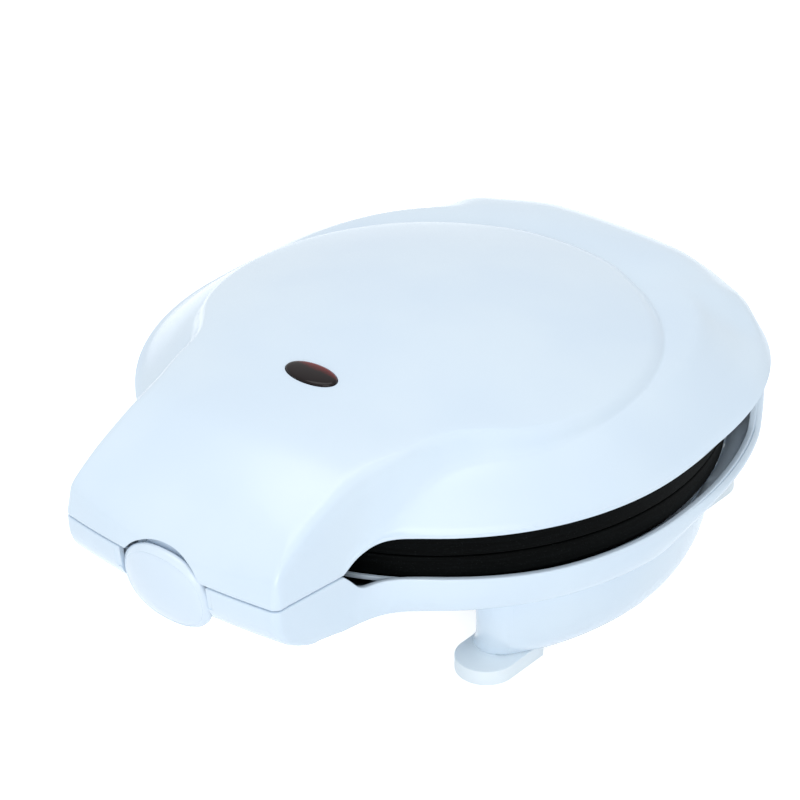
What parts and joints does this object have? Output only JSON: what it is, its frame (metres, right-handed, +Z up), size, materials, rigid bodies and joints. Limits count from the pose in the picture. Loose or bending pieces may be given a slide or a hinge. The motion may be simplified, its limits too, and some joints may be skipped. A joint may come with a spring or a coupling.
{
  "type": "sandwich maker",
  "caption": "Round electric sandwich maker: white moulded lid and base with a front handle and latch, black ridged plates that shut on each other, rear hinge and short feet.",
  "frame": {"origin": "on the floor under the middle of the outline's width and length", "axes": "+Z up; -Y to the front, where the handle and latch are; +Y to the hinge; +X to the right of somebody standing in front of the handle"},
  "size_m": [0.214, 0.2662, 0.0996],
  "materials": {
    "white_shell": "glossy moulded plastic, white with a cool cast",
    "latch_white": "glossy moulded plastic, white",
    "foot_white": "satin moulded plastic, white",
    "black_coating": "cast aluminium with a black non-stick coating",
    "screw_steel": "plated steel",
    "heater_sheath": "steel sheath dulled by heat",
    "sheet_steel": "bright sheet steel",
    "phenolic": "dark moulded phenolic",
    "ceramic": "pale ceramic",
    "block_cream": "cream moulded nylon",
    "gland_white": "white moulded nylon",
    "lead_sleeve": "woven glass sleeving, off white",
    "pin_steel": "plain steel",
    "red_lens": "deep red tinted plastic, polished",
    "lamp_glass": "small glass glow lamp"
  },
  "bodies": {
    "base": {"base_shell": "white_shell", "foot_front_left": "foot_white", "foot_front_right": "foot_white", "foot_rear_left": "foot_white", "foot_rear_right": "foot_white", "lower_plate": "black_coating", "base_screw_1": "screw_steel", "base_screw_2": "screw_steel", "base_screw_3": "screw_steel", "base_screw_4": "screw_steel", "lower_element": "heater_sheath", "lower_clamp_left": "sheet_steel", "lower_clamp_right": "sheet_steel", "lower_shield": "sheet_steel", "thermostat": "phenolic", "thermal_fuse": "ceramic", "terminal_block": "block_cream", "cord_gland": "gland_white", "lead_block_to_thermostat": "lead_sleeve", "lead_thermostat_to_fuse": "lead_sleeve", "lead_fuse_to_element": "heater_sheath", "hinge_pin_left": "pin_steel", "hinge_pin_right": "pin_steel", "base_sleeve": "lead_sleeve"},
    "lid": {"lid_shell": "white_shell", "upper_plate": "black_coating", "lid_screw_1": "screw_steel", "lid_screw_2": "screw_steel", "lid_screw_3": "screw_steel", "lid_screw_4": "screw_steel", "upper_element": "heater_sheath", "upper_clamp_left": "sheet_steel", "upper_clamp_right": "sheet_steel", "upper_shield": "sheet_steel", "lid_sleeve": "lead_sleeve", "latch_pin": "pin_steel", "indicator_lens": "red_lens", "glow_lamp": "lamp_glass", "lamp_holder": "gland_white"},
    "latch": {"latch": "latch_white"}
  },
  "joints": [
    {"name": "lid_hinge", "type": "hinge", "parent": "base", "child": "lid", "pos_m": [0, 0.12565, 0.0656], "axis": [-1, 0, 0], "range_deg": [0, 100]},
    {"name": "latch_swing", "type": "hinge", "parent": "lid", "child": "latch", "pos_m": [0, -0.12355, 0.0604], "axis": [-1, 0, 0], "range_deg": [0, 11]}
  ]
}
